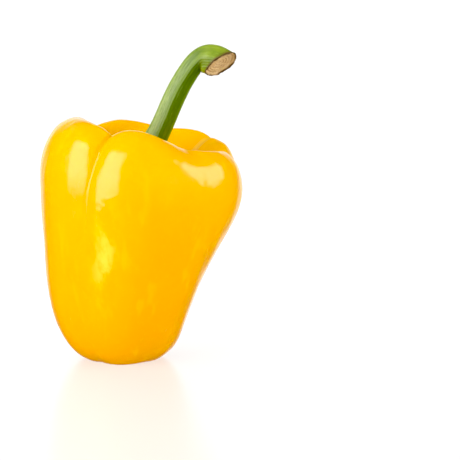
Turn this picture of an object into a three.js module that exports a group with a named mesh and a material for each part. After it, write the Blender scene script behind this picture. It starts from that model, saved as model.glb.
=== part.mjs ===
// A yellow bell pepper, standing upright on its blossom end with its stem on. Millimetres, +Z up.
// The origin is on the flat spot that the fruit rests on, under the fruit's weight. Its front faces -Y.
// Three pieces: the fruit, the calyx at the bottom of the stem cavity, and the stem on top of the calyx.

import * as THREE from 'three';
import { mergeVertices } from 'three/addons/utils/BufferGeometryUtils.js';

// ---- driving dimensions ----

const LEAN = 7.5; // degrees that the fruit leans towards +X
const FOOT_LEAN = 0.3; // share of the lean that is left at the blossom end
const FOOT_HEIGHT = 26; // height over which the full lean is reached
const AXIS_X = -3; // where the fruit's axis meets the floor, along X
const FOOT_SHIFT = 2.6; // the blossom end is pushed this far towards +X
const UNDER_WEIGHT = { x: 4.3, y: -0.2 }; // the point of the flat spot that becomes the origin
const CAVITY_SHIFT = 3; // the stem cavity sits off the fruit's axis, towards +X
const FLOOR_HEIGHT = 80; // height of the cavity's floor along the axis
const GAP = 0.3; // clearance between neighbouring pieces

// Mean outline of the fruit, as [radius, height] control points of a smooth curve: from the middle of
// the blossom end, up the body, over the crest of the shoulders, down to the middle of the cavity.
const FRUIT_OUTLINE = [
  [0, 0.9], [5, 0], [10, -1.8], [15, -0.9], [20.6, 4.2], [25.3, 12.5], [29.3, 22.5], [32.9, 35],
  [36.7, 50], [40.6, 63.5], [43.1, 74], [41.6, 84], [38, 92.5], [29.5, 98], [23.5, 95.5], [20.5, 89],
  [19, 83], [15, FLOOR_HEIGHT + 0.4], [7.5, FLOOR_HEIGHT], [0, FLOOR_HEIGHT],
];
const CREST = 13; // which control point is the crest of the shoulders

// The grooves between the lobes. azimuth and drift in degrees, the drift being how far the groove
// wanders on its way down; crest, body and foot are depths in mm at those heights; width and round in
// degrees, the round being how soft the bottom of the groove is at the crest; reach is how far down the
// body the deep part runs.
const GROOVES = [
  { azimuth: 247, drift: -8, crest: 5.6, body: 0.9, foot: 0, width: 15, round: 1, reach: 0.4 },
  { azimuth: 308, drift: 3, crest: 4.8, body: 0.8, foot: 0.5, width: 20, round: 9, reach: 0.12 },
  { azimuth: 10, drift: 0, crest: 5.2, body: 0, foot: 0, width: 12.5, round: 5, reach: 0.11 },
  { azimuth: 44, drift: 0, crest: 2.2, body: 1.6, foot: 0.6, width: 11, round: 3, reach: 0.4 },
  { azimuth: 78, drift: 0, crest: 2.6, body: 1.4, foot: 0.4, width: 14, round: 6, reach: 0.35 },
  { azimuth: 141, drift: 0, crest: 5.8, body: 2.4, foot: 0.5, width: 17, round: 2, reach: 0.4 },
];

// How each lobe differs from the mean outline, in mm: rise lifts its shoulder, spread widens the rim of
// the cavity, and reach, waist and foot widen its upper body, middle and lower body. width is in degrees.
const LOBES = [
  { azimuth: 190, width: 26, rise: 1, spread: -1.5, reach: -2.4, waist: 1.2, foot: 1.4 },
  { azimuth: 222, width: 20, rise: 2.5, spread: -1, reach: -1, waist: 0.5, foot: 0.8 },
  { azimuth: 262, width: 26, rise: 4.6, spread: 0, reach: 0, waist: 0, foot: 0 },
  { azimuth: 300, width: 26, rise: 1, spread: 0, reach: 0, waist: 0, foot: 0 },
  { azimuth: 340, width: 20, rise: -2.7, spread: 6, reach: 0.5, waist: -1.6, foot: 0.6 },
  { azimuth: 5, width: 20, rise: -3.3, spread: 5, reach: 2.4, waist: -2.9, foot: 1.4 },
  { azimuth: 28, width: 17, rise: -1.6, spread: 10.5, reach: 0.5, waist: -1, foot: 0 },
  { azimuth: 52, width: 18, rise: 0.7, spread: 10, reach: 0, waist: 0, foot: 0 },
  { azimuth: 85, width: 26, rise: 1, spread: 2, reach: 0, waist: 0, foot: 0 },
  { azimuth: 110, width: 26, rise: 0.5, spread: 0, reach: 0, waist: 0, foot: 0 },
];

// Outline of the calyx above the cavity's floor, as [radius, height] control points: out along its
// underside, round its crinkled rim, down into the crease and up the dome that carries the stem.
const CALYX_OUTLINE = [
  [0, 0.4], [7, 0.4], [12, 1.0], [15.2, 2.4], [16.6, 3.8], [15.6, 4.9], [13.4, 4.2], [11.4, 3.2],
  [10.2, 3.0], [9, 4.0], [7.8, 5.6], [6.8, 6.7], [4, 6.8], [0, 6.8],
];
const CALYX_TOP = 6.8; // height of the dome's top
const CALYX_RIM = 5; // which control point is the rim
const CALYX_POINTS = 6; // the rim's soft points
const CALYX_POINT_REACH = 1.1; // how far each point stands out
const CALYX_POINT_RISE = 0.7; // and how far it climbs the cavity's wall

// The stem's rings from its base to the cut end. x, y and z are the ring's middle, lean is the angle in
// degrees from upright towards +X that the ring faces, front is how far it is turned to -Y, and across
// and deep are its half widths in and out of the X-Z plane.
const STEM_RINGS = [
  { ...onCavityAxis(CALYX_TOP + GAP), y: 0, lean: LEAN, front: 0, across: 5.7, deep: 5.7 },
  { x: 12.9, y: 0, z: 89.6, lean: 18, front: 0, across: 5.0, deep: 5.0 },
  { x: 15.6, y: 0, z: 94.2, lean: 22, front: 0, across: 4.5, deep: 4.5 },
  { x: 18.1, y: 0, z: 99.4, lean: 22, front: 0, across: 4.35, deep: 4.3 },
  { x: 20.6, y: 0, z: 105.2, lean: 23, front: 0, across: 4.3, deep: 4.2 },
  { x: 23.3, y: 0, z: 110.9, lean: 27, front: 0, across: 4.25, deep: 4.1 },
  { x: 26.5, y: 0, z: 116.6, lean: 38, front: 0, across: 4.2, deep: 4.1 },
  { x: 30.1, y: -0.5, z: 121.6, lean: 60, front: 0.05, across: 4.4, deep: 4.4 },
  { x: 33.7, y: -1.0, z: 124.4, lean: 97, front: 0.16, across: 5.2, deep: 5.0 },
  { x: 37.3, y: -1.8, z: 124.0, lean: 124, front: 0.36, across: 6.4, deep: 5.9 },
  { x: 41.2, y: -2.8, z: 121.9, lean: 146, front: 0.55, across: 6.9, deep: 6.4 },
];
const STEM_FLUTES = 5; // ridges along the stem
const FLUTE_DEPTH = 0.07; // their height as a share of the ring's half width

/** The x and z of the point on the cavity's axis that is this high above the cavity's floor. */
function onCavityAxis(above) {
  const lean = THREE.MathUtils.degToRad(LEAN);
  const height = FLOOR_HEIGHT + above;
  return {
    x: CAVITY_SHIFT * Math.cos(lean) + height * Math.sin(lean) + AXIS_X,
    z: height * Math.cos(lean) - CAVITY_SHIFT * Math.sin(lean),
  };
}

// ---- mesh fineness ----

const FRUIT_ROWS = 46;
const FRUIT_COLUMNS = 84;
const CALYX_ROWS = 22;
const CALYX_COLUMNS = 60;
const STEM_ROWS = 36;
const STEM_COLUMNS = 25;

// ---- curves ----

const { smoothstep, degToRad, radToDeg } = THREE.MathUtils;

/** A bell curve of x, one at the middle and falling off over width. */
function bell(x, middle, width) {
  return Math.exp(-(((x - middle) / width) ** 2));
}

/** The difference of two azimuths in degrees, from -180 to 180. */
function turn(azimuth, other) {
  return THREE.MathUtils.euclideanModulo(azimuth - other + 180, 360) - 180;
}

/** A point and a direction on the smooth curve of an outline that starts and ends on the axis. */
function outlineAt(outline, t) {
  const last = outline.length - 1;
  const i = Math.min(Math.floor(t), last - 1);
  const u = t - i;
  const control = (k) => {
    if (k < 0) return [-outline[1][0], outline[1][1]];
    if (k > last) return [-outline[last - 1][0], outline[last - 1][1]];
    return outline[k];
  };
  const weights = [(1 - u) ** 3, 3 * u ** 3 - 6 * u ** 2 + 4, -3 * u ** 3 + 3 * u ** 2 + 3 * u + 1, u ** 3];
  const slopes = [-3 * (1 - u) ** 2, 9 * u ** 2 - 12 * u, -9 * u ** 2 + 6 * u + 3, 3 * u ** 2];
  const point = new THREE.Vector2();
  const direction = new THREE.Vector2();
  for (let k = 0; k < 4; k++) {
    const [radius, height] = control(i - 1 + k);
    point.add(new THREE.Vector2(radius, height).multiplyScalar(weights[k] / 6));
    direction.add(new THREE.Vector2(radius, height).multiplyScalar(slopes[k]));
  }
  return { point, direction: direction.normalize() };
}

/** The value of one key at v (0 to 1) along the list of rings, on a smooth curve through them. */
function along(rings, key, v) {
  const last = rings.length - 1;
  const i = Math.min(Math.floor(v * last), last - 1);
  const u = v * last - i;
  const [a, b, c, d] = [i - 1, i, i + 1, i + 2].map((k) => rings[THREE.MathUtils.clamp(k, 0, last)][key]);
  return b + 0.5 * u * (c - a + u * (2 * a - 5 * b + 4 * c - d + u * (3 * (b - c) + d - a)));
}

// ---- the fruit ----

/** Depth of all the grooves at an azimuth. down runs from 0 at the crest to 1 at the blossom end. */
function grooveDepth(azimuth, down, inside) {
  const below = Math.max(down, 0);
  let depth = 0;
  for (const groove of GROOVES) {
    const round = groove.round + 6 * smoothstep(down, 0.1, 0.6);
    const away = turn(azimuth, groove.azimuth + 2 * groove.drift * Math.min(below, 1));
    const section = Math.exp(-(Math.hypot(away, round) - round) / groove.width);
    const body = groove.body + (groove.crest - groove.body) * bell(below, 0, groove.reach);
    const foot = groove.foot * bell(down, 0.86, 0.08);
    const fade = smoothstep(1 - down, 0.02, 0.25);
    depth += (body * fade + foot) * section * (1 - smoothstep(inside, 0.25, 0.62));
  }
  return depth;
}

/** The lobes' mean of one key at an azimuth, each lobe weighing most around its own azimuth. */
function lobeMean(azimuth, key) {
  let sum = 0;
  let weights = 0;
  for (const lobe of LOBES) {
    const weight = bell(turn(azimuth, lobe.azimuth), 0, lobe.width);
    sum += weight * lobe[key];
    weights += weight;
  }
  return sum / weights;
}

/** A point of the fruit's skin. t runs along the outline, from the blossom end to the cavity's middle. */
function skinPoint(azimuth, t) {
  const { point, direction } = outlineAt(FRUIT_OUTLINE, t);
  const down = (CREST - t) / CREST;
  const inside = (t - CREST) / (FRUIT_OUTLINE.length - 1 - CREST);
  const depth = grooveDepth(azimuth, down, inside);
  const shoulder = (1 - smoothstep(down, 0, 0.75)) * (1 - smoothstep(inside, 0.15, 0.62));
  const radius = point.x - direction.y * depth
    + lobeMean(azimuth, 'reach') * bell(down, 0.26, 0.16)
    + lobeMean(azimuth, 'waist') * bell(down, 0.46, 0.16)
    + lobeMean(azimuth, 'foot') * bell(down, 0.66, 0.16)
    + lobeMean(azimuth, 'spread') * bell(t, CREST + 0.4, 1.8);
  const height = point.y + direction.x * depth + lobeMean(azimuth, 'rise') * shoulder;
  const angle = degToRad(azimuth);
  const x = radius * Math.cos(angle) + CAVITY_SHIFT * smoothstep(inside, 0, 0.62)
    + FOOT_SHIFT * (1 - smoothstep(height, 0, FOOT_HEIGHT));
  const lean = degToRad(LEAN) * (FOOT_LEAN + (1 - FOOT_LEAN) * smoothstep(height, 0, FOOT_HEIGHT));
  return new THREE.Vector3(
    x * Math.cos(lean) + height * Math.sin(lean) + AXIS_X,
    radius * Math.sin(angle),
    Math.max(0, height * Math.cos(lean) - x * Math.sin(lean)),
  );
}

// ---- closed meshes ----

/** A closed ball whose vertices are moved by place(azimuth, share), share being 0 at its south pole. */
function reshapedBall(columns, rows, place) {
  const ball = new THREE.SphereGeometry(1, columns, rows).rotateX(Math.PI / 2);
  ball.deleteAttribute('normal');
  ball.deleteAttribute('uv');
  const geometry = mergeVertices(ball);
  const position = geometry.getAttribute('position');
  const vertex = new THREE.Vector3();
  for (let i = 0; i < position.count; i++) {
    vertex.fromBufferAttribute(position, i);
    const share = Math.acos(THREE.MathUtils.clamp(-vertex.z, -1, 1)) / Math.PI;
    position.setXYZ(i, ...place(radToDeg(Math.atan2(vertex.y, vertex.x)), share));
  }
  geometry.computeVertexNormals();
  return geometry;
}

function fruitGeometry() {
  const last = FRUIT_OUTLINE.length - 1;
  return reshapedBall(FRUIT_COLUMNS, FRUIT_ROWS, (azimuth, share) => skinPoint(azimuth, share * last));
}

/** The calyx about the middle of the cavity's floor, its rim drawn out into soft points. */
function calyxGeometry() {
  const last = CALYX_OUTLINE.length - 1;
  return reshapedBall(CALYX_COLUMNS, CALYX_ROWS, (azimuth, share) => {
    const t = share * last;
    const { point } = outlineAt(CALYX_OUTLINE, t);
    const lobe = (0.5 + 0.5 * Math.cos(degToRad(azimuth) * CALYX_POINTS)) * bell(t, CALYX_RIM - 0.5, 1.6);
    const radius = point.x + CALYX_POINT_REACH * lobe;
    const angle = degToRad(azimuth);
    return new THREE.Vector3(
      radius * Math.cos(angle), radius * Math.sin(angle), point.y + CALYX_POINT_RISE * lobe,
    );
  });
}

/** The fluted stem: a capped cylinder whose rings are moved on to the stem's own rings. */
function stemGeometry() {
  const cylinder = new THREE.CylinderGeometry(1, 1, 1, STEM_COLUMNS, STEM_ROWS).rotateX(Math.PI / 2);
  cylinder.deleteAttribute('normal');
  cylinder.deleteAttribute('uv');
  const geometry = mergeVertices(cylinder);
  const position = geometry.getAttribute('position');
  const vertex = new THREE.Vector3();
  for (let i = 0; i < position.count; i++) {
    vertex.fromBufferAttribute(position, i);
    const v = THREE.MathUtils.clamp(vertex.z + 0.5, 0, 1);
    const at = (key) => along(STEM_RINGS, key, v);
    const lean = degToRad(at('lean'));
    const facing = new THREE.Vector3(Math.sin(lean), -at('front'), Math.cos(lean)).normalize();
    const acrossAxis = new THREE.Vector3(Math.cos(lean), 0, -Math.sin(lean));
    const deepAxis = facing.clone().cross(acrossAxis);
    const flutes = 1 + FLUTE_DEPTH * Math.cos(STEM_FLUTES * Math.atan2(vertex.y, vertex.x)) * (1 - v ** 3);
    vertex.multiplyScalar(flutes);
    const place = new THREE.Vector3(at('x'), at('y'), at('z'))
      .addScaledVector(acrossAxis, vertex.x * at('across'))
      .addScaledVector(deepAxis, vertex.y * at('deep'));
    position.setXYZ(i, ...place);
  }
  geometry.computeVertexNormals();
  return geometry;
}

// ---- the pieces ----

function piece(name, geometry, color, roughness) {
  const material = new THREE.MeshStandardMaterial({ color, roughness, metalness: 0 });
  const mesh = new THREE.Mesh(geometry, material);
  mesh.name = name;
  return mesh;
}

/** A group whose own +Z is the cavity's axis and whose origin is the middle of the cavity's floor. */
function cavityFrame() {
  const floor = onCavityAxis(0);
  const frame = new THREE.Group();
  frame.rotation.y = degToRad(LEAN);
  frame.position.set(floor.x, 0, floor.z);
  return frame;
}

const pepper = new THREE.Group();
pepper.position.set(-UNDER_WEIGHT.x, -UNDER_WEIGHT.y, 0);
pepper.add(piece('fruit', fruitGeometry(), 0xfdb404, 0.22));

const cavity = cavityFrame();
cavity.add(piece('calyx', calyxGeometry(), 0x4f6620, 0.55));
pepper.add(cavity);

pepper.add(piece('stem', stemGeometry(), 0x748c18, 0.5));

export default pepper;
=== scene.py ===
"""The looks of a yellow bell pepper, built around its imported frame.

The fruit, the calyx and the stem are fine meshes worked out from the same curves as the frame's plain
solids, and each replaces its solid. Curves are written in millimetres, and fitted to the frame's boxes.
"""

import math

import bpy
import numpy as np
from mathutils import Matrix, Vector

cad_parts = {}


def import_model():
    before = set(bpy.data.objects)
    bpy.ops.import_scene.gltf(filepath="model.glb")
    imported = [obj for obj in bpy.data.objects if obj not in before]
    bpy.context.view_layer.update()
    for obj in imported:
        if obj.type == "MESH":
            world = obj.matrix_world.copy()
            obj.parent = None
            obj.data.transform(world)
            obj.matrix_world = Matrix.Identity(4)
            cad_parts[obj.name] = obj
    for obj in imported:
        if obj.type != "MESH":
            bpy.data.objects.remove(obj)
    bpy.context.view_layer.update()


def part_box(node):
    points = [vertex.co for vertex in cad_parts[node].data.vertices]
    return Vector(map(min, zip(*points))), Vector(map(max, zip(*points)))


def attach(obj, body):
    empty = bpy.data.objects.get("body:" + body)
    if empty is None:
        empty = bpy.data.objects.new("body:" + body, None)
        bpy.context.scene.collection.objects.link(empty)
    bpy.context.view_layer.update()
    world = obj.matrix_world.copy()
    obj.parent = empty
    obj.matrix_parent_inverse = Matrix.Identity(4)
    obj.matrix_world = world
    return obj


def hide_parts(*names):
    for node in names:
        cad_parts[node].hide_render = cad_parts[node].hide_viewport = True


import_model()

# ---- the fruit's curves, mm and degrees ----

LEAN = 7.5  # the fruit leans towards +X
FOOT_LEAN = 0.3  # share of the lean that is left at the blossom end
FOOT_HEIGHT = 26  # height at which the full lean is reached and the foot is no longer pushed
AXIS_X = -3  # where the fruit's axis meets the floor, along X
FOOT_SHIFT = 2.6  # the blossom end is pushed this far towards +X
UNDER_WEIGHT = (4.3, -0.2)  # the point of the flat spot that is the frame's origin
CAVITY_SHIFT = 3  # the stem cavity sits off the fruit's axis, towards +X
FLOOR_HEIGHT = 80  # height of the cavity's floor along the axis

# Mean outline, as (radius, height) control points: from the blossom end, up the body, over the crest of
# the shoulders, down to the middle of the cavity.
FRUIT_OUTLINE = [
    (0, 0.9), (5, 0), (10, -1.8), (15, -0.9), (20.6, 4.2), (25.3, 12.5), (29.3, 22.5), (32.9, 35),
    (36.7, 50), (40.6, 63.5), (43.1, 74), (41.6, 84), (38, 92.5), (29.5, 98), (23.5, 95.5), (20.5, 89),
    (19, 83), (15, FLOOR_HEIGHT + 0.4), (7.5, FLOOR_HEIGHT), (0, FLOOR_HEIGHT),
]
CREST = 13  # which control point is the crest of the shoulders
LAST = len(FRUIT_OUTLINE) - 1

# The grooves between the lobes: depths at the crest, on the body and at the foot, how wide and how round
# the groove is, how far down its deep part reaches, the depth of a thin crease along its bottom, and
# how strongly a line is painted along it: a pale painted reflection in the cavity, a faint tint on the body.
GROOVES = [
    dict(azimuth=247, drift=-8, crest=5.6, body=0.9, foot=0, width=15, round=1, reach=0.4,
         crease=0.5, groove_line=1),
    dict(azimuth=308, drift=3, crest=4.8, body=0.8, foot=0.5, width=20, round=9, reach=0.12,
         crease=0, groove_line=0.2),
    dict(azimuth=10, drift=0, crest=5.2, body=0, foot=0, width=12.5, round=5, reach=0.11,
         crease=0, groove_line=0),
    dict(azimuth=44, drift=0, crest=2.2, body=1.6, foot=0.6, width=11, round=3, reach=0.4,
         crease=0.3, groove_line=1),
    dict(azimuth=78, drift=0, crest=2.6, body=1.4, foot=0.4, width=14, round=6, reach=0.35,
         crease=0, groove_line=0.5),
    dict(azimuth=141, drift=0, crest=5.8, body=2.4, foot=0.5, width=17, round=2, reach=0.4,
         crease=0.35, groove_line=1),
]

# How each lobe differs from the mean outline: the rise of its shoulder, the spread of the cavity's rim,
# and how far its upper body (reach), its middle (waist) and its lower body (foot) stand out.
LOBES = [
    dict(azimuth=190, width=26, rise=1, spread=-1.5, reach=-2.4, waist=1.2, foot=1.4),
    dict(azimuth=222, width=20, rise=2.5, spread=-1, reach=-1, waist=0.5, foot=0.8),
    dict(azimuth=262, width=26, rise=4.6, spread=0, reach=0, waist=0, foot=0),
    dict(azimuth=300, width=26, rise=1, spread=0, reach=0, waist=0, foot=0),
    dict(azimuth=340, width=20, rise=-2.7, spread=6, reach=0.5, waist=-1.6, foot=0.6),
    dict(azimuth=5, width=20, rise=-3.3, spread=5, reach=2.4, waist=-2.9, foot=1.4),
    dict(azimuth=28, width=17, rise=-1.6, spread=10.5, reach=0.5, waist=-1, foot=0),
    dict(azimuth=52, width=18, rise=0.7, spread=10, reach=0, waist=0, foot=0),
    dict(azimuth=85, width=26, rise=1, spread=2, reach=0, waist=0, foot=0),
    dict(azimuth=110, width=26, rise=0.5, spread=0, reach=0, waist=0, foot=0),
]

# How far down the body, from 0 at the crest to 1 at the blossom end, those three are at their most.
REACH_AT = 0.26
WAIST_AT = 0.46
FOOT_AT = 0.66
BAND_WIDTH = 0.16  # and over how much of the body each is felt
SPREAD_AT = CREST + 0.4  # where on the outline the rim's spread is at its most
SPREAD_WIDTH = 1.8

ROUNDER_BELOW = 6  # degrees by which the grooves are rounder on the body than at the crest
FOOT_GROOVE_AT = 0.86  # how far down the grooves between the feet are at their deepest
FOOT_GROOVE_WIDTH = 0.08
INNER_END = 0.62  # share of the way from the crest to the cavity's middle where both have faded out

# ---- the calyx's curves, mm above the cavity's floor ----

# Outline as (radius, height) control points: along its underside, round its crumpled rim, down into the
# crease and up the dome that carries the stem.
CALYX_OUTLINE = [
    (0, 0.4), (7, 0.4), (12, 1.0), (15.2, 2.4), (16.6, 3.8), (15.6, 4.9), (13.4, 4.2), (11.4, 3.2),
    (10.2, 3.0), (9, 4.0), (7.8, 5.6), (6.8, 6.7), (4, 6.8), (0, 6.8),
]
CALYX_RIM = 5  # which control point is the rim
CALYX_CREASE = 8  # which control point is the crease around the dome
CALYX_TOP = 6.8  # height of the dome's top
CALYX_POINTS = 6  # the rim's soft points
CALYX_POINT_REACH = 1.1  # how far each point stands out
CALYX_POINT_RISE = 0.7  # and how far it climbs the cavity's wall

# ---- the stem's rings, mm and degrees ----

GAP = 0.3  # clearance between the calyx and the stem in the frame


def on_cavity_axis(above):
    """The x and z of the point on the cavity's axis that is this high above the cavity's floor."""
    lean = math.radians(LEAN)
    height = FLOOR_HEIGHT + above
    x = CAVITY_SHIFT * math.cos(lean) + height * math.sin(lean) + AXIS_X
    z = height * math.cos(lean) - CAVITY_SHIFT * math.sin(lean)
    return x, z


# The rings from the stem's base to its cut end: the ring's middle, the angle from upright towards +X
# that it faces, how far it is turned to -Y, and its half widths in and out of the X-Z plane.
STEM_KEYS = ("x", "y", "z", "lean", "front", "across", "deep")
STEM_FOOT_X, STEM_FOOT_Z = on_cavity_axis(CALYX_TOP + GAP)
STEM_RINGS = [
    (STEM_FOOT_X, 0, STEM_FOOT_Z, LEAN, 0, 5.7, 5.7),
    (12.9, 0, 89.6, 18, 0, 5.0, 5.0),
    (15.6, 0, 94.2, 22, 0, 4.5, 4.5),
    (18.1, 0, 99.4, 22, 0, 4.35, 4.3),
    (20.6, 0, 105.2, 23, 0, 4.3, 4.2),
    (23.3, 0, 110.9, 27, 0, 4.25, 4.1),
    (26.5, 0, 116.6, 38, 0, 4.2, 4.1),
    (30.1, -0.5, 121.6, 60, 0.05, 4.4, 4.4),
    (33.7, -1.0, 124.4, 97, 0.16, 5.2, 5.0),
    (37.3, -1.8, 124.0, 124, 0.36, 6.4, 5.9),
    (41.2, -2.8, 121.9, 146, 0.55, 6.9, 6.4),
]
STEM_FLUTES = 5  # ridges around the stem
FLUTE_DEPTH = 0.07  # their height as a share of the ring's half width

# ---- curves ----


def bell(x, middle, width):
    """A bell curve of x, one at the middle and falling off over width."""
    return np.exp(-(((x - middle) / width) ** 2))


def smooth(x, low, high):
    """Zero below low, one above high, and a smooth step between them."""
    share = np.clip((x - low) / (high - low), 0, 1)
    return share * share * (3 - 2 * share)


def turn(azimuth, other):
    """The difference of two azimuths in degrees, from -180 to 180."""
    return (azimuth - other + 180) % 360 - 180


def outline_at(outline, t):
    """Points and unit directions on the smooth curve of an outline that starts and ends on the axis."""
    first, last = outline[1], outline[-2]
    control = np.array([(-first[0], first[1]), *outline, (-last[0], last[1])], float)
    i = np.clip(np.floor(t).astype(int), 0, len(outline) - 2)
    u = (t - i)[..., None]
    a, b, c, d = (control[i + k] for k in range(4))
    point = (1 - u) ** 3 * a + (3 * u**3 - 6 * u**2 + 4) * b
    point += (-3 * u**3 + 3 * u**2 + 3 * u + 1) * c + u**3 * d
    slope = -3 * (1 - u) ** 2 * a + (9 * u**2 - 12 * u) * b + (-9 * u**2 + 6 * u + 3) * c + 3 * u**2 * d
    return point / 6, slope / np.linalg.norm(slope, axis=-1, keepdims=True)


def even_steps(outline, rows):
    """Values of t that step evenly along an outline's length, from one end to the other."""
    t = np.linspace(0, len(outline) - 1, 4000)
    point, _ = outline_at(outline, t)
    length = np.concatenate([[0], np.cumsum(np.linalg.norm(np.diff(point, axis=0), axis=1))])
    return np.interp(np.linspace(0, length[-1], rows), length, t)


def along(rings, v):
    """The rings' values at v (0 to 1) along the list, on a smooth curve through them."""
    rings = np.array(rings, float)
    last = len(rings) - 1
    i = np.clip(np.floor(v * last).astype(int), 0, last - 1)
    u = (v * last - i)[..., None]
    a, b, c, d = (rings[np.clip(i + k, 0, last)] for k in (-1, 0, 1, 2))
    values = b + 0.5 * u * (c - a + u * (2 * a - 5 * b + 4 * c - d + u * (3 * (b - c) + d - a)))
    return {key: values[..., k] for k, key in enumerate(STEM_KEYS)}


def waves(points, length, seed, count=14):
    """Smooth random waves at points, about one high, with hills about one length apart."""
    random = np.random.RandomState(seed)
    total = np.zeros(points.shape[:-1])
    for _ in range(count):
        direction = random.normal(size=3)
        direction /= np.linalg.norm(direction) * length * random.uniform(0.7, 1.4)
        total += np.sin(points @ direction * 2 * math.pi + random.uniform(0, 2 * math.pi))
    return total / math.sqrt(count / 2)


# ---- the fruit's surface ----


def groove_parts(azimuth, down, inside):
    """The depth of all the grooves together, how close a point is to a groove, and its thin creases.

    down runs from 0 at the crest to 1 at the blossom end, inside from 0 there to 1 in the cavity's middle.
    """
    below = np.maximum(down, 0)
    depth = np.zeros_like(azimuth)
    near = np.zeros_like(azimuth)
    crease = np.zeros_like(azimuth)
    for groove in GROOVES:
        roundness = groove["round"] + ROUNDER_BELOW * smooth(down, 0.1, 0.6)
        away = turn(azimuth, groove["azimuth"] + 2 * groove["drift"] * np.minimum(below, 1))
        section = np.exp(-(np.hypot(away, roundness) - roundness) / groove["width"])
        body = groove["body"] + (groove["crest"] - groove["body"]) * bell(below, 0, groove["reach"])
        foot = groove["foot"] * bell(down, FOOT_GROOVE_AT, FOOT_GROOVE_WIDTH)
        fade = smooth(1 - down, 0.02, 0.25)
        open_inside = 1 - smooth(inside, 0.25, INNER_END)
        depth += (body * fade + foot) * section * open_inside
        near = np.maximum(near, bell(away, 0, 3.5) * groove["groove_line"])
        line = bell(away, 0.25 * np.sin(down * 40), 1.3)
        crease += groove["crease"] * line * (1 - smooth(down, 0.16, 0.42)) * open_inside
    return depth, near, crease


def lobe_mean(azimuth, key):
    """The lobes' mean of one key at an azimuth, each lobe weighing most around its own azimuth."""
    weights = [bell(turn(azimuth, lobe["azimuth"]), 0, lobe["width"]) for lobe in LOBES]
    return sum(w * lobe[key] for w, lobe in zip(weights, LOBES)) / sum(weights)


def skin_points(azimuth, t, creased):
    """Points of the fruit's skin in mm, with or without the thin creases, and how close to a groove."""
    point, direction = outline_at(FRUIT_OUTLINE, t)
    down = (CREST - t) / CREST
    inside = (t - CREST) / (LAST - CREST)
    depth, near, crease = groove_parts(azimuth, down, inside)
    depth = depth + crease * creased
    shoulder = (1 - smooth(down, 0, 0.75)) * (1 - smooth(inside, 0.15, INNER_END))
    radius = point[..., 0] - direction[..., 1] * depth
    for key, at in (("reach", REACH_AT), ("waist", WAIST_AT), ("foot", FOOT_AT)):
        radius = radius + lobe_mean(azimuth, key) * bell(down, at, BAND_WIDTH)
    radius = radius + lobe_mean(azimuth, "spread") * bell(t, SPREAD_AT, SPREAD_WIDTH)
    height = point[..., 1] + direction[..., 0] * depth + lobe_mean(azimuth, "rise") * shoulder
    angle = np.radians(azimuth)
    x = radius * np.cos(angle) + CAVITY_SHIFT * smooth(inside, 0, INNER_END)
    x = x + FOOT_SHIFT * (1 - smooth(height, 0, FOOT_HEIGHT))
    lean = math.radians(LEAN) * (FOOT_LEAN + (1 - FOOT_LEAN) * smooth(height, 0, FOOT_HEIGHT))
    points = np.stack([
        x * np.cos(lean) + height * np.sin(lean) + AXIS_X - UNDER_WEIGHT[0],
        radius * np.sin(angle) - UNDER_WEIGHT[1],
        height * np.cos(lean) - x * np.sin(lean),
    ], axis=-1)
    return points, near


# ---- meshes ----


def grid_normals(points):
    """Outward unit normals of a grid of points whose rows wrap around and whose columns run up."""
    around = np.roll(points, -1, axis=0) - np.roll(points, 1, axis=0)
    up = np.gradient(points, axis=1)
    normals = np.cross(around, up)
    return normals / (np.linalg.norm(normals, axis=-1, keepdims=True) + 1e-12)


def fit_to_node(points, base, node):
    """Points in mm moved into the frame, in metres, so that base would fill the node's box."""
    low, high = (np.array(corner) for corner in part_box(node))
    base_low = base.reshape(-1, 3).min(axis=0)
    base_high = base.reshape(-1, 3).max(axis=0)
    unit = (high[2] - low[2]) / (base_high[2] - base_low[2])
    return (points - (base_low + base_high) / 2) * unit + (low + high) / 2


def closed_mesh(name, points, values):
    """A closed smooth mesh from a grid (around, along) whose first and last rings are single points.

    values holds grids of numbers by name, which the material reads as attributes.
    """
    columns, rows = points.shape[:2]
    ring = points[:, 1:-1].transpose(1, 0, 2).reshape(-1, 3)
    vertices = np.vstack([points[:1, 0], ring, points[:1, -1]])
    around = np.arange(columns)
    after = (around + 1) % columns
    faces = [(0, 1 + b, 1 + a) for a, b in zip(around, after)]
    for row in range(rows - 3):
        low, high = 1 + row * columns, 1 + (row + 1) * columns
        faces += list(zip(low + around, low + after, high + after, high + around))
    low = 1 + (rows - 3) * columns
    faces += [(low + a, low + b, len(vertices) - 1) for a, b in zip(around, after)]
    mesh = bpy.data.meshes.new(name)
    mesh.from_pydata(vertices.tolist(), [], [tuple(int(i) for i in face) for face in faces])
    mesh.polygons.foreach_set("use_smooth", [True] * len(mesh.polygons))
    for key, grid in values.items():
        layer = mesh.attributes.new(key, "FLOAT", "POINT")
        inner = grid[:, 1:-1].transpose(1, 0).reshape(-1)
        flat = np.concatenate([[grid[0, 0]], inner, [grid[0, -1]]])
        layer.data.foreach_set("value", flat.astype(np.float32))
    mesh.update()
    piece = bpy.data.objects.new(name, mesh)
    bpy.context.scene.collection.objects.link(piece)
    return piece


def add_to_frame(piece, node, material):
    """Give a piece its material, and put it in the frame in place of a node."""
    piece.data.materials.append(material)
    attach(piece, "root")
    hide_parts(node)


# ---- the fruit ----

FRUIT_COLUMNS = 360
FRUIT_ROWS = 250

# A place on the front lobe with a painted highlight, pale flecks that stand in for a broken reflection of
# the key lamp, and a bumpy patch: where each is in degrees and down the body, and its half sizes.
PAINTED_HIGHLIGHT_PATCH = dict(azimuth=257, width=8, down=0.42, length=0.1)
BUMPY_PATCH = dict(azimuth=258, width=13, down=0.47, length=0.1)


def patch_share(patch, azimuth, down):
    """How much of a patch is felt at a point, from 0 to 1."""
    away = turn(azimuth, patch["azimuth"])
    return bell(away, 0, patch["width"]) * bell(down, patch["down"], patch["length"])


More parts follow.
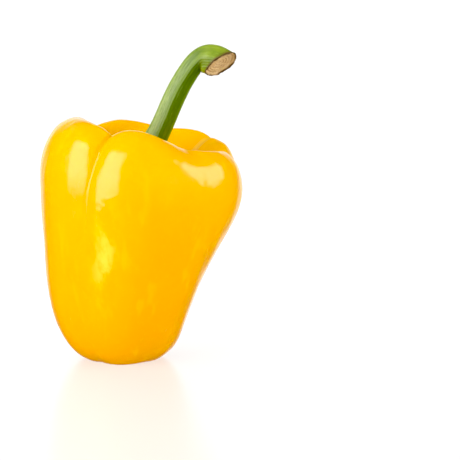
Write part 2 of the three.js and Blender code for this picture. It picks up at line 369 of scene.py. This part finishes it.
def fruit_piece():
    """The fruit's skin, from the blossom end over the shoulders to the middle of the stem cavity."""
    steps = even_steps(FRUIT_OUTLINE, FRUIT_ROWS)
    azimuth, t = np.meshgrid(np.arange(FRUIT_COLUMNS) * 360 / FRUIT_COLUMNS, steps, indexing="ij")
    base, near = skin_points(azimuth, t, 0)
    points, _ = skin_points(azimuth, t, 1)
    down = (CREST - t) / CREST
    inside = (t - CREST) / (LAST - CREST)
    points = points + grid_normals(points) * skin_relief(points, azimuth, down, inside)[..., None]
    for grid in (base, points):
        grid[..., 2] = np.maximum(grid[..., 2], 0)
    # Where the painted highlight lies: pale flecks for the key lamp's broken reflection on the front lobe.
    painted_highlight = patch_share(PAINTED_HIGHLIGHT_PATCH, azimuth, down)
    values = {"near_groove": near, "down": down, "inside": inside, "painted_highlight": painted_highlight}
    return closed_mesh("fruit_skin", fit_to_node(points, base, "fruit"), values)


def skin_relief(points, azimuth, down, inside):
    """The skin's own unevenness in mm: swells, a bumpy patch, and the furrows and scar at the base."""
    open_body = smooth(1 - down, 0.1, 0.3) * (1 - smooth(inside, 0.4, 0.8))
    flattened = points * (1, 1, 0.45)
    swell = 0.16 * waves(flattened, 24, 3) + 0.06 * waves(flattened, 9, 5) + 0.014 * waves(points, 3.2, 8)
    bumps = 0.09 * waves(points * (1, 1, 0.7), 5.5, 12) + 0.03 * waves(points, 2.6, 15)
    furrows = 0.35 * np.cos(np.radians(azimuth) * 5 + 0.6) * bell(down, 0.955, 0.03)
    scar = -0.9 * bell(down, 1, 0.02) + 0.5 * bell(down, 0.965, 0.012)
    return swell * open_body + bumps * patch_share(BUMPY_PATCH, azimuth, down) + furrows + scar


# ---- the calyx ----

CALYX_COLUMNS = 360
CALYX_ROWS = 150


def calyx_points(azimuth, t):
    """Points of the calyx about the middle of the cavity's floor, its rim drawn out into soft points."""
    point, _ = outline_at(CALYX_OUTLINE, t)
    angle = np.radians(azimuth)
    lobe = (0.5 + 0.5 * np.cos(angle * CALYX_POINTS)) * bell(t, CALYX_RIM - 0.5, 1.6)
    radius = point[..., 0] + CALYX_POINT_REACH * lobe
    height = point[..., 1] + CALYX_POINT_RISE * lobe
    return np.stack([radius * np.cos(angle), radius * np.sin(angle), height], axis=-1)


def in_cavity(points):
    """Points about the middle of the cavity's floor, moved to where the cavity is."""
    lean = math.radians(LEAN)
    floor_x, floor_z = on_cavity_axis(0)
    x, y, z = points[..., 0], points[..., 1], points[..., 2]
    return np.stack([
        x * math.cos(lean) + z * math.sin(lean) + floor_x - UNDER_WEIGHT[0],
        y - UNDER_WEIGHT[1],
        z * math.cos(lean) - x * math.sin(lean) + floor_z,
    ], axis=-1)


def calyx_piece():
    """The calyx: a crumpled collar around a ribbed dome."""
    steps = even_steps(CALYX_OUTLINE, CALYX_ROWS)
    azimuth, t = np.meshgrid(np.arange(CALYX_COLUMNS) * 360 / CALYX_COLUMNS, steps, indexing="ij")
    base = calyx_points(azimuth, t)
    collar = bell(t, CALYX_RIM + 0.7, 1.5)
    dome = smooth(t, CALYX_CREASE - 0.3, CALYX_CREASE + 0.8)
    smoothed = smooth(t, CALYX_CREASE - 1.8, CALYX_CREASE - 0.6)
    angle = np.radians(azimuth)
    wander = 9 * np.sin(angle * 3 + 1) + 5 * np.sin(angle * 7)
    wrinkles = np.abs(np.sin(np.radians(azimuth * 11 + wander * (1 + 0.4 * t)))) - 0.5
    folds = 0.3 * waves(base, 4.5, 21) + 0.32 * waves(base, 2.3, 22) + 0.16 * waves(base, 1.2, 23)
    crumple = collar * (0.28 * wrinkles + folds) * (1 - 0.7 * smoothed)
    ribs = np.cos(angle * CALYX_POINTS + 0.3 * np.sin(angle * 2))
    ridges = 0.35 * ribs * dome * (1 - smooth(t, 11, 12.5))
    crease = -0.5 * bell(t, CALYX_CREASE, 0.45)
    points = base + grid_normals(base) * (crumple + ridges + crease)[..., None]
    values = {"dome": smoothed, "crest": np.clip(0.5 + crumple, 0, 1)}
    fitted = fit_to_node(in_cavity(points), in_cavity(base), "calyx")
    return closed_mesh("calyx_collar", fitted, values)


# ---- the stem ----

STEM_COLUMNS = 200
STEM_SIDE_ROWS = 300
STEM_CUT_ROWS = 44
STEM_BASE_ROWS = 12


def stem_points(angle, v, share, raised):
    """Points at an angle around the stem, v along it and a share of its half width from its middle."""
    ring = along(STEM_RINGS, v)
    lean = np.radians(ring["lean"])
    zero = np.zeros_like(lean)
    facing = np.stack([np.sin(lean), -ring["front"], np.cos(lean)], axis=-1)
    facing /= np.linalg.norm(facing, axis=-1, keepdims=True)
    across = np.stack([np.cos(lean), zero, -np.sin(lean)], axis=-1)
    deep = np.cross(facing, across)
    middle = np.stack([ring["x"] - UNDER_WEIGHT[0], ring["y"] - UNDER_WEIGHT[1], ring["z"]], axis=-1)
    sideways = across * (np.cos(angle) * ring["across"])[..., None]
    depthwise = deep * (np.sin(angle) * ring["deep"])[..., None]
    return middle + (sideways + depthwise) * share[..., None] + facing * raised[..., None]


def stem_piece():
    """The stem: a flat base, the fluted side up to the cut end, and the cut face."""
    base_disc = np.linspace(0, 1, STEM_BASE_ROWS)[:-1]
    side = np.linspace(0, 1, STEM_SIDE_ROWS)
    cut_disc = np.linspace(1, 0, STEM_CUT_ROWS)[1:]
    v_row = np.concatenate([base_disc * 0, side, cut_disc * 0 + 1])
    share_row = np.concatenate([base_disc, side * 0 + 1, cut_disc])
    cut_row = np.concatenate([base_disc * 0, side * 0, cut_disc * 0 + 1])
    around = np.arange(STEM_COLUMNS) * 2 * math.pi / STEM_COLUMNS
    angle, v = np.meshgrid(around, v_row, indexing="ij")
    share = np.broadcast_to(share_row, v.shape)
    cut = np.broadcast_to(cut_row, v.shape)
    plain = share * (1 + FLUTE_DEPTH * np.cos(STEM_FLUTES * angle) * (1 - v**3))
    base = stem_points(angle, v, plain, v * 0)
    shaped = share * (1 + flute_height(angle, v))
    points = stem_points(angle, v, shaped, cut_relief(angle, share, cut))
    values = {
        "cut": cut,
        "share": share,
        "v": v,
        "flute": np.clip(0.5 + 6 * flute_height(angle, v), 0, 1),
        "angle_cos": np.cos(angle),
        "angle_sin": np.sin(angle),
    }
    return closed_mesh("stem_fluted", fit_to_node(points, base, "stem"), values)


def flute_height(angle, v):
    """The height of the stem's ridges, fibres and bumps, as a share of its half width."""
    twist = angle + 0.25 * v
    ridge = np.cos(STEM_FLUTES * twist)
    broad = np.abs(np.cos(STEM_FLUTES / 2 * twist)) ** 0.5
    ridges = FLUTE_DEPTH * (0.6 * ridge + 0.4 * broad) * (1 - 0.6 * v**3)
    fibres = 0.008 * np.sin(27 * twist + 3 * np.sin(5 * v)) + 0.005 * np.sin(61 * twist + 5 * v)
    knuckle = bell(v, 0.86, 0.12)
    lumps = 0.035 * knuckle * np.sin(3 * angle + 9 * v) + 0.02 * knuckle * np.sin(7 * angle - 14 * v)
    lip = 0.05 * bell(v, 1, 0.012)
    return ridges + fibres + lumps + lip


def cut_relief(angle, share, cut):
    """The cut end's relief in mm: a raised torn lip, a sunken corky face and the rings in it."""
    wobble = 0.03 * np.sin(3 * angle) + 0.02 * np.sin(8 * angle + 1)
    at = share + wobble * share
    lip = 0.45 * bell(at, 0.95, 0.05) * (1 + 0.4 * np.sin(11 * angle) * np.sin(4 * angle + 1))
    sunk = -0.7 * smooth(1 - at, 0.03, 0.16)
    rings = 0.22 * bell(at, 0.66, 0.06) + 0.12 * np.sin(at * 46) * smooth(at, 0.1, 0.4)
    pith = -0.5 * bell(at, 0, 0.3)
    grain = 0.08 * np.sin(at * 25 * np.cos(angle) + 3) * np.sin(at * 22 * np.sin(angle))
    return cut * (lip + sunk + rings + pith + grain)


# ---- materials ----


def linear(red, green, blue):
    """A colour given as 0 to 255 screen values, as a shader takes it."""
    def channel(value):
        value /= 255
        return value / 12.92 if value <= 0.04045 else ((value + 0.055) / 1.055) ** 2.4
    return (channel(red), channel(green), channel(blue), 1)


class Shader:
    """One material and its node tree, with short calls for the nodes that the materials here use."""

    def __init__(self, name):
        self.material = bpy.data.materials.new(name)
        self.material.use_nodes = True
        self.tree = self.material.node_tree
        self.surface = self.tree.nodes["Principled BSDF"]
        self.place = self.add("ShaderNodeTexCoord").outputs["Object"]

    def add(self, kind, inputs=None, **settings):
        """A new node with these settings, and a value or a link for each of these inputs."""
        node = self.tree.nodes.new(kind)
        for key, value in settings.items():
            setattr(node, key, value)
        for key, value in (inputs or {}).items():
            self.put(node.inputs[key], value)
        return node

    def put(self, socket, value):
        if isinstance(value, bpy.types.NodeSocket):
            self.tree.links.new(value, socket)
        else:
            socket.default_value = value

    def set(self, **values):
        """Values or links for the surface's sockets, spaces in their names written as _."""
        for key, value in values.items():
            self.put(self.surface.inputs[key.replace("_", " ")], value)

    def value(self, name):
        """The numbers that the mesh holds under this name."""
        return self.add("ShaderNodeAttribute", attribute_name=name).outputs["Fac"]

    def noise(self, scale, stretch=(1, 1, 1), detail=3.0, roughness=0.5):
        place = self.add("ShaderNodeMapping", {"Vector": self.place, "Scale": stretch}).outputs["Vector"]
        inputs = {"Vector": place, "Scale": scale, "Detail": detail, "Roughness": roughness}
        return self.add("ShaderNodeTexNoise", inputs).outputs["Fac"]

    def streaks(self, place, scale):
        """Long thin noise along the third coordinate of place."""
        inputs = {"Vector": place, "Scale": scale, "Detail": 3.0, "Roughness": 0.6}
        return self.add("ShaderNodeTexNoise", inputs).outputs["Fac"]

    def spots(self, scale):
        """The distance from the middle of the nearest of many scattered spots."""
        inputs = {"Vector": self.place, "Scale": scale}
        return self.add("ShaderNodeTexVoronoi", inputs, feature="F1").outputs["Distance"]

    def step(self, value, low, high, to_low=0.0, to_high=1.0):
        """A smooth change from to_low to to_high as value goes from low to high."""
        inputs = {"Value": value, "From Min": low, "From Max": high, "To Min": to_low, "To Max": to_high}
        return self.add("ShaderNodeMapRange", inputs, interpolation_type="SMOOTHSTEP").outputs["Result"]

    def math(self, operation, first, second=0.0):
        node = self.add("ShaderNodeMath", operation=operation)
        self.put(node.inputs[0], first)
        self.put(node.inputs[1], second)
        return node.outputs[0]

    def mix(self, factor, first, second):
        """A colour from first to second. The node's colour sockets come after its plain and vector ones."""
        node = self.add("ShaderNodeMix", data_type="RGBA")
        self.put(node.inputs["Factor"], factor)
        self.put(node.inputs[6], first)
        self.put(node.inputs[7], second)
        return node.outputs[2]

    def bump(self, height, strength, distance, below=None):
        inputs = {"Height": height, "Strength": strength, "Distance": distance}
        if below is not None:
            inputs["Normal"] = below
        return self.add("ShaderNodeBump", inputs).outputs["Normal"]


SKIN_HIGH = linear(238, 176, 3)
SKIN_LOW = linear(238, 165, 0)
SKIN_VEIN = linear(255, 206, 30)
SKIN_PAINTED_HIGHLIGHT = linear(246, 204, 62)
SKIN_FRECKLE = linear(255, 214, 60)
SKIN_CAVITY = linear(255, 186, 22)
SKIN_PAINTED_REFLECTION = linear(247, 190, 92)
SKIN_GROOVE = linear(214, 178, 10)
SKIN_SCAR = linear(118, 84, 40)


def skin_material():
    """Waxy yellow skin: warmer low on the body, faintly veined, with a painted reflection as pale lines
    along the grooves in the cavity and a painted highlight as pale flecks on the front lobe.
    """
    skin = Shader("pepper_skin")
    down, inside, near = skin.value("down"), skin.value("inside"), skin.value("near_groove")
    patches = skin.noise(38, (1, 1, 0.5), 3)
    tone = skin.math("ADD", skin.math("MULTIPLY", down, 0.75), skin.math("MULTIPLY", patches, 0.5))
    color = skin.mix(skin.step(tone, 0.15, 0.85), SKIN_HIGH, SKIN_LOW)
    veins = skin.noise(190, (1, 1, 0.16), 2)
    color = skin.mix(skin.step(veins, 0.56, 0.74, 0, 0.22), color, SKIN_VEIN)
    # Painted highlight: pale flecks on the front lobe stand in for the key lamp's mottled reflection there.
    highlight_flecks = skin.step(skin.noise(130, (1, 1, 0.55), 4, 0.6), 0.44, 0.62)
    color = skin.mix(skin.math("MULTIPLY", skin.value("painted_highlight"), highlight_flecks), color, SKIN_PAINTED_HIGHLIGHT)
    freckles = skin.step(skin.spots(620), 0.05, 0.16, 0.25, 0)
    color = skin.mix(freckles, color, SKIN_FRECKLE)
    cavity = skin.step(inside, 0.05, 0.7)
    color = skin.mix(skin.math("MULTIPLY", cavity, 0.6), color, SKIN_CAVITY)
    # Painted reflection: a pale line along the grooves inside the cavity, where the white room shows in the
    # folds.
    groove_line = skin.math("MULTIPLY", skin.step(near, 0.35, 0.95), skin.step(inside, 0.0, 0.3))
    color = skin.mix(skin.math("MULTIPLY", groove_line, 0.7), color, SKIN_PAINTED_REFLECTION)
    groove = skin.math("MULTIPLY", skin.step(near, 0.6, 0.93), skin.step(down, 0.55, 0.1))
    color = skin.mix(skin.math("MULTIPLY", groove, 0.3), color, SKIN_GROOVE)
    color = skin.mix(skin.step(down, 0.972, 0.995), color, SKIN_SCAR)
    fine = skin.noise(900, (1, 1, 1), 2)
    pits = skin.step(skin.spots(1500), 0.0, 0.35)
    normal = skin.bump(pits, 0.05, 0.0001, skin.bump(fine, 0.06, 0.0002))
    rough = skin.step(skin.noise(60, (1, 1, 0.6), 4), 0.35, 0.7, 0.17, 0.28)
    skin.set(
        Base_Color=color, Roughness=rough, Normal=normal, IOR=1.38, Specular_IOR_Level=0.5,
        Subsurface_Weight=0.28, Subsurface_Radius=(1.0, 0.5, 0.08), Subsurface_Scale=0.004,
        Coat_Weight=0.32, Coat_Roughness=0.1, Coat_IOR=1.4,
    )
    return skin.material


LEAF_DARK = linear(38, 62, 14)
LEAF_GREEN = linear(64, 92, 26)
LEAF_PAINTED_HIGHLIGHT = linear(142, 166, 122)
DOME_DARK = linear(100, 124, 8)
DOME_LIGHT = linear(134, 148, 30)


def calyx_material():
    """Dark green crumpled collar with painted highlights as pale flecks on its crests, and a smooth
    yellow-green dome.
    """
    leaf = Shader("calyx_leaf")
    crest, dome = leaf.value("crest"), leaf.value("dome")
    mottle = leaf.noise(260, (1, 1, 1), 4)
    collar = leaf.mix(leaf.step(mottle, 0.35, 0.65), LEAF_DARK, LEAF_GREEN)
    # Painted highlights: pale flecks on the crests of the crumpled collar, where its folds catch the light.
    scattered = leaf.step(leaf.noise(700, (1, 1, 1), 4), 0.46, 0.62)
    highlight_flecks = leaf.math("MULTIPLY", scattered, leaf.step(crest, 0.4, 0.9))
    collar = leaf.mix(highlight_flecks, collar, LEAF_PAINTED_HIGHLIGHT)
    top = leaf.mix(leaf.step(mottle, 0.35, 0.7), DOME_DARK, DOME_LIGHT)
    color = leaf.mix(dome, collar, top)
    normal = leaf.bump(leaf.noise(1500, (1, 1, 1), 3), 0.2, 0.0003)
    leaf.set(
        Base_Color=color, Roughness=leaf.step(mottle, 0.3, 0.7, 0.42, 0.6), Normal=normal,
        Subsurface_Weight=0.1, Subsurface_Radius=(0.4, 0.8, 0.1), Subsurface_Scale=0.001,
    )
    return leaf.material


STEM_FURROW = linear(74, 104, 8)
STEM_RIDGE = linear(116, 140, 34)
STEM_PAINTED_HIGHLIGHT = linear(148, 168, 96)
STEM_PAINTED_SHADE = linear(62, 92, 4)
STEM_FIBRE = linear(150, 170, 90)
STEM_HAIR = linear(62, 90, 12)
STEM_KNUCKLE = linear(150, 168, 60)
STEM_BROWN = linear(96, 74, 42)
STEM_SPECKLE = linear(196, 206, 140)
ROUGH_SKIN = (0.4, 0.4, 0.4, 1)
ROUGH_CORK = (0.85, 0.85, 0.85, 1)


def stem_material():
    """Fluted green stem with a painted highlight down one side, a band of painted shade and fibres, and a
    brown edge at the cut end.
    """
    stem = Shader("stem_green")
    flute, v, cut, share = (stem.value(name) for name in ("flute", "v", "cut", "share"))
    side, back = stem.value("angle_cos"), stem.value("angle_sin")
    wrapped = stem.add("ShaderNodeCombineXYZ", {"X": side, "Y": back, "Z": v}).outputs["Vector"]
    fibres = stem.streaks(wrapped, 11)
    hairs = stem.streaks(wrapped, 30)
    mottle = stem.noise(170, (1, 1, 0.6), 4)
    color = stem.mix(stem.step(flute, 0.2, 0.95), STEM_FURROW, STEM_RIDGE)
    # Painted highlight: one side of the stem is paler, in streaks, along its lower part.
    highlight_side = stem.math("MULTIPLY", stem.step(side, 0.05, -0.6), stem.step(v, 0.85, 0.5))
    stem_highlight = stem.math("MULTIPLY", highlight_side, stem.step(fibres, 0.3, 0.62, 0.35, 0.95))
    color = stem.mix(stem_highlight, color, STEM_PAINTED_HIGHLIGHT)
    # Painted shade: a darker band down the stem, beside the painted highlight.
    shade_band = stem.math("MULTIPLY", stem.step(side, -0.1, 0.15), stem.step(side, 0.75, 0.4))
    color = stem.mix(stem.math("MULTIPLY", shade_band, 0.75), color, STEM_PAINTED_SHADE)
    color = stem.mix(stem.step(fibres, 0.55, 0.75, 0, 0.4), color, STEM_FIBRE)
    color = stem.mix(stem.step(hairs, 0.5, 0.68, 0, 0.5), color, STEM_HAIR)
    knuckle = stem.math("MULTIPLY", stem.step(v, 0.72, 0.9), stem.step(mottle, 0.3, 0.7, 0.2, 0.7))
    color = stem.mix(knuckle, color, STEM_KNUCKLE)
    brown = stem.math("MULTIPLY", stem.step(v, 0.95, 1.0), stem.step(mottle, 0.2, 0.6, 0.5, 1.0))
    color = stem.mix(brown, color, STEM_BROWN)
    speckle = stem.step(stem.spots(2200), 0.04, 0.18, 0.3, 0)
    color = stem.mix(speckle, color, STEM_SPECKLE)
    color = stem.mix(cut, color, cork_color(stem, share, back, mottle))
    grain = stem.noise(1800, (1, 1, 0.4), 4)
    normal = stem.bump(grain, 0.2, 0.0003, stem.bump(fibres, 0.3, 0.0005))
    rough = stem.mix(cut, ROUGH_SKIN, ROUGH_CORK)
    stem.set(
        Base_Color=color, Roughness=rough, Normal=normal,
        Subsurface_Weight=0.08, Subsurface_Radius=(0.5, 0.8, 0.1), Subsurface_Scale=0.001,
    )
    return stem.material


CORK_LIGHT = linear(222, 194, 146)
CORK_TAN = linear(188, 154, 104)
CORK_RING = linear(150, 116, 70)
CORK_SPECKLE = linear(134, 104, 64)
CORK_PAINTED_SHADOW = linear(96, 72, 42)
CORK_RIM = linear(82, 62, 34)
CORK_RING_TURNS = 34.0  # radians of rings from the middle of the cut face to its rim


def cork_color(stem, share, back, mottle):
    """The cut face: a tan corky field with darker rings, a dark torn rim, and a painted shadow along one
    edge.
    """
    field = stem.mix(mottle, CORK_LIGHT, CORK_TAN)
    rings = stem.math("SINE", stem.math("MULTIPLY", share, CORK_RING_TURNS))
    field = stem.mix(stem.step(rings, -0.2, 0.9, 0, 0.5), field, CORK_RING)
    speckle = stem.step(stem.noise(2600, (1, 1, 1), 3), 0.5, 0.66, 0, 0.5)
    field = stem.mix(speckle, field, CORK_SPECKLE)
    # Painted shadow: darker along one edge of the cut face, where the skin overhangs the sunken face.
    shaded = stem.math("MULTIPLY", stem.step(back, -0.1, -0.9), stem.step(share, 0.55, 0.85))
    field = stem.mix(stem.math("MULTIPLY", shaded, 0.8), field, CORK_PAINTED_SHADOW)
    return stem.mix(stem.step(share, 0.86, 0.97), field, CORK_RIM)


# ---- the stage ----

FLOOR_SIZE = 30.0
FLOOR_GLOW = 0.6
FLOOR_DARKER = (0.22, 0.22, 0.22, 1)
FLOOR_LIGHTER = (0.24, 0.24, 0.24, 1)
WHITE = (1, 1, 1, 1)


def floor():
    """A plain table that glows a little, so that it looks white and shadows on it stay faint."""
    mesh = bpy.data.meshes.new("floor")
    half = FLOOR_SIZE / 2
    corners = [(-half, -half, 0), (half, -half, 0), (half, half, 0), (-half, half, 0)]
    mesh.from_pydata(corners, [], [(0, 1, 2, 3)])
    plane = bpy.data.objects.new("floor", mesh)
    bpy.context.scene.collection.objects.link(plane)
    paper = Shader("floor_white")
    tone = paper.step(paper.noise(3, (1, 1, 1), 2), 0.3, 0.7)
    color = paper.mix(tone, FLOOR_DARKER, FLOOR_LIGHTER)
    paper.set(
        Base_Color=color, Roughness=0.27, Specular_IOR_Level=0.65,
        Emission_Color=WHITE, Emission_Strength=FLOOR_GLOW,
    )
    mesh.materials.append(paper.material)
    plane.visible_glossy = False


WALL_BRIGHTNESS = 1.0  # the white wall behind the object
WALL_EDGE = (0.78, 0.97)  # how squarely behind the object the wall starts, and is at its brightest
WALL_TOP = (0.2, 0.6)  # how high above the horizon it starts to fade, and has faded out
ROOM_BRIGHTNESS = 0.12  # the rest of the room
SEEN_BRIGHTNESS = 1.3  # the white that the view itself sees


def world():
    """A white wall behind the object and a dark room around it; the view itself sees only white."""
    light = bpy.data.worlds.new("studio")
    light.use_nodes = True
    tree = light.node_tree
    room = tree.nodes["Background"]
    room.inputs["Color"].default_value = WHITE
    place = tree.nodes.new("ShaderNodeTexCoord")
    split = tree.nodes.new("ShaderNodeSeparateXYZ")
    tree.links.new(place.outputs["Generated"], split.inputs[0])
    behind = fade(tree, split.outputs["Y"], *WALL_EDGE, 0, WALL_BRIGHTNESS)
    below = fade(tree, split.outputs["Z"], *WALL_TOP, 1, 0)
    both = tree.nodes.new("ShaderNodeMath")
    both.operation = "MULTIPLY_ADD"
    tree.links.new(behind, both.inputs[0])
    tree.links.new(below, both.inputs[1])
    both.inputs[2].default_value = ROOM_BRIGHTNESS
    tree.links.new(both.outputs[0], room.inputs["Strength"])
    seen = tree.nodes.new("ShaderNodeBackground")
    seen.inputs["Color"].default_value = WHITE
    seen.inputs["Strength"].default_value = SEEN_BRIGHTNESS
    path = tree.nodes.new("ShaderNodeLightPath")
    mix = tree.nodes.new("ShaderNodeMixShader")
    tree.links.new(path.outputs["Is Camera Ray"], mix.inputs[0])
    tree.links.new(room.outputs[0], mix.inputs[1])
    tree.links.new(seen.outputs[0], mix.inputs[2])
    tree.links.new(mix.outputs[0], tree.nodes["World Output"].inputs["Surface"])
    bpy.context.scene.world = light


def fade(tree, value, low, high, at_low, at_high):
    """A smooth change from at_low to at_high as value goes from low to high."""
    node = tree.nodes.new("ShaderNodeMapRange")
    node.interpolation_type = "SMOOTHSTEP"
    tree.links.new(value, node.inputs["Value"])
    for key, number in (("From Min", low), ("From Max", high), ("To Min", at_low), ("To Max", at_high)):
        node.inputs[key].default_value = number
    return node.outputs["Result"]


# Rectangular lamps around the object, azimuth 0 in front of it and 90 on its right. Metres, degrees and
# watts. Only the ones that are reflected show in the gloss of the skin.
SOFTBOXES = [
    dict(name="key", azimuth=-51, elevation=14, distance=0.75, size=(0.64, 0.9), power=9.2, reflected=True),
    dict(name="right", azimuth=91, elevation=22, distance=0.75, size=(0.3, 0.42), power=1.9, reflected=True),
    dict(name="fill", azimuth=48, elevation=12, distance=0.9, size=(0.9, 0.6), power=6.2, reflected=False),
    dict(name="back", azimuth=-150, elevation=50, distance=0.8, size=(0.7, 0.5), power=4.0, reflected=False),
]


def softbox(aim, name, azimuth, elevation, distance, size, power, reflected):
    """A rectangular softbox that faces the point it is aimed at."""
    light = bpy.data.lights.new(name, "AREA")
    light.shape = "RECTANGLE"
    light.size, light.size_y = size
    light.energy = power
    lamp = bpy.data.objects.new(name, light)
    turned, raised = math.radians(azimuth), math.radians(elevation)
    direction = Vector((
        math.sin(turned) * math.cos(raised), -math.cos(turned) * math.cos(raised), math.sin(raised)
    ))
    lamp.location = aim + direction * distance
    lamp.rotation_euler = direction.to_track_quat("Z", "Y").to_euler()
    lamp.visible_glossy = reflected
    bpy.context.scene.collection.objects.link(lamp)


SKY_BRIGHTNESS = 0.8
SKY_WIDTH = 70
SKY_TILT = (12, -8, 0)


def sky_light():
    """A very wide soft lamp overhead, which lights the floor evenly."""
    light = bpy.data.lights.new("overhead", "SUN")
    light.energy = SKY_BRIGHTNESS
    light.angle = math.radians(SKY_WIDTH)
    lamp = bpy.data.objects.new("overhead", light)
    lamp.rotation_euler = [math.radians(tilt) for tilt in SKY_TILT]
    lamp.visible_glossy = False
    bpy.context.scene.collection.objects.link(lamp)


VIEW_PITCH = 9.0  # degrees that the camera looks down
VIEW_DISTANCE = 0.7
VIEW_WIDTH = 2.32  # width of the picture at the object, in widths of the fruit
VIEW_MIDDLE = (0.935, 0.527)  # the picture's middle from the fruit's left and base, in widths and heights
SENSOR = 36.0
BLACK_LEVEL = 0.03  # light below this is black in the picture


def camera():
    """The camera in front of the fruit, looking a little down on it."""
    low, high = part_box("fruit")
    pitch = math.radians(VIEW_PITCH)
    forward = Vector((0, math.cos(pitch), -math.sin(pitch)))
    up = Vector((0, math.sin(pitch), math.cos(pitch)))
    width, height = high.x - low.x, high.z - low.z
    middle = Vector((low.x + VIEW_MIDDLE[0] * width, 0, 0)) + up * VIEW_MIDDLE[1] * height
    data = bpy.data.cameras.new("camera")
    data.sensor_width = SENSOR
    data.lens = SENSOR * VIEW_DISTANCE / (VIEW_WIDTH * width)
    eye = bpy.data.objects.new("camera", data)
    eye.location = middle - forward * VIEW_DISTANCE
    eye.rotation_euler = (math.pi / 2 - pitch, 0, 0)
    bpy.context.scene.collection.objects.link(eye)
    bpy.context.scene.camera = eye


def studio():
    """The lamps, the room, and how the picture is developed."""
    low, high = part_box("fruit")
    for settings in SOFTBOXES:
        softbox((low + high) / 2, **settings)
    sky_light()
    world()
    view = bpy.context.scene.view_settings
    view.view_transform = "Standard"
    view.use_curve_mapping = True
    view.curve_mapping.black_level = (BLACK_LEVEL,) * 3


camera()
studio()
floor()
add_to_frame(fruit_piece(), "fruit", skin_material())
add_to_frame(calyx_piece(), "calyx", calyx_material())
add_to_frame(stem_piece(), "stem", stem_material())

bpy.context.view_layer.update()
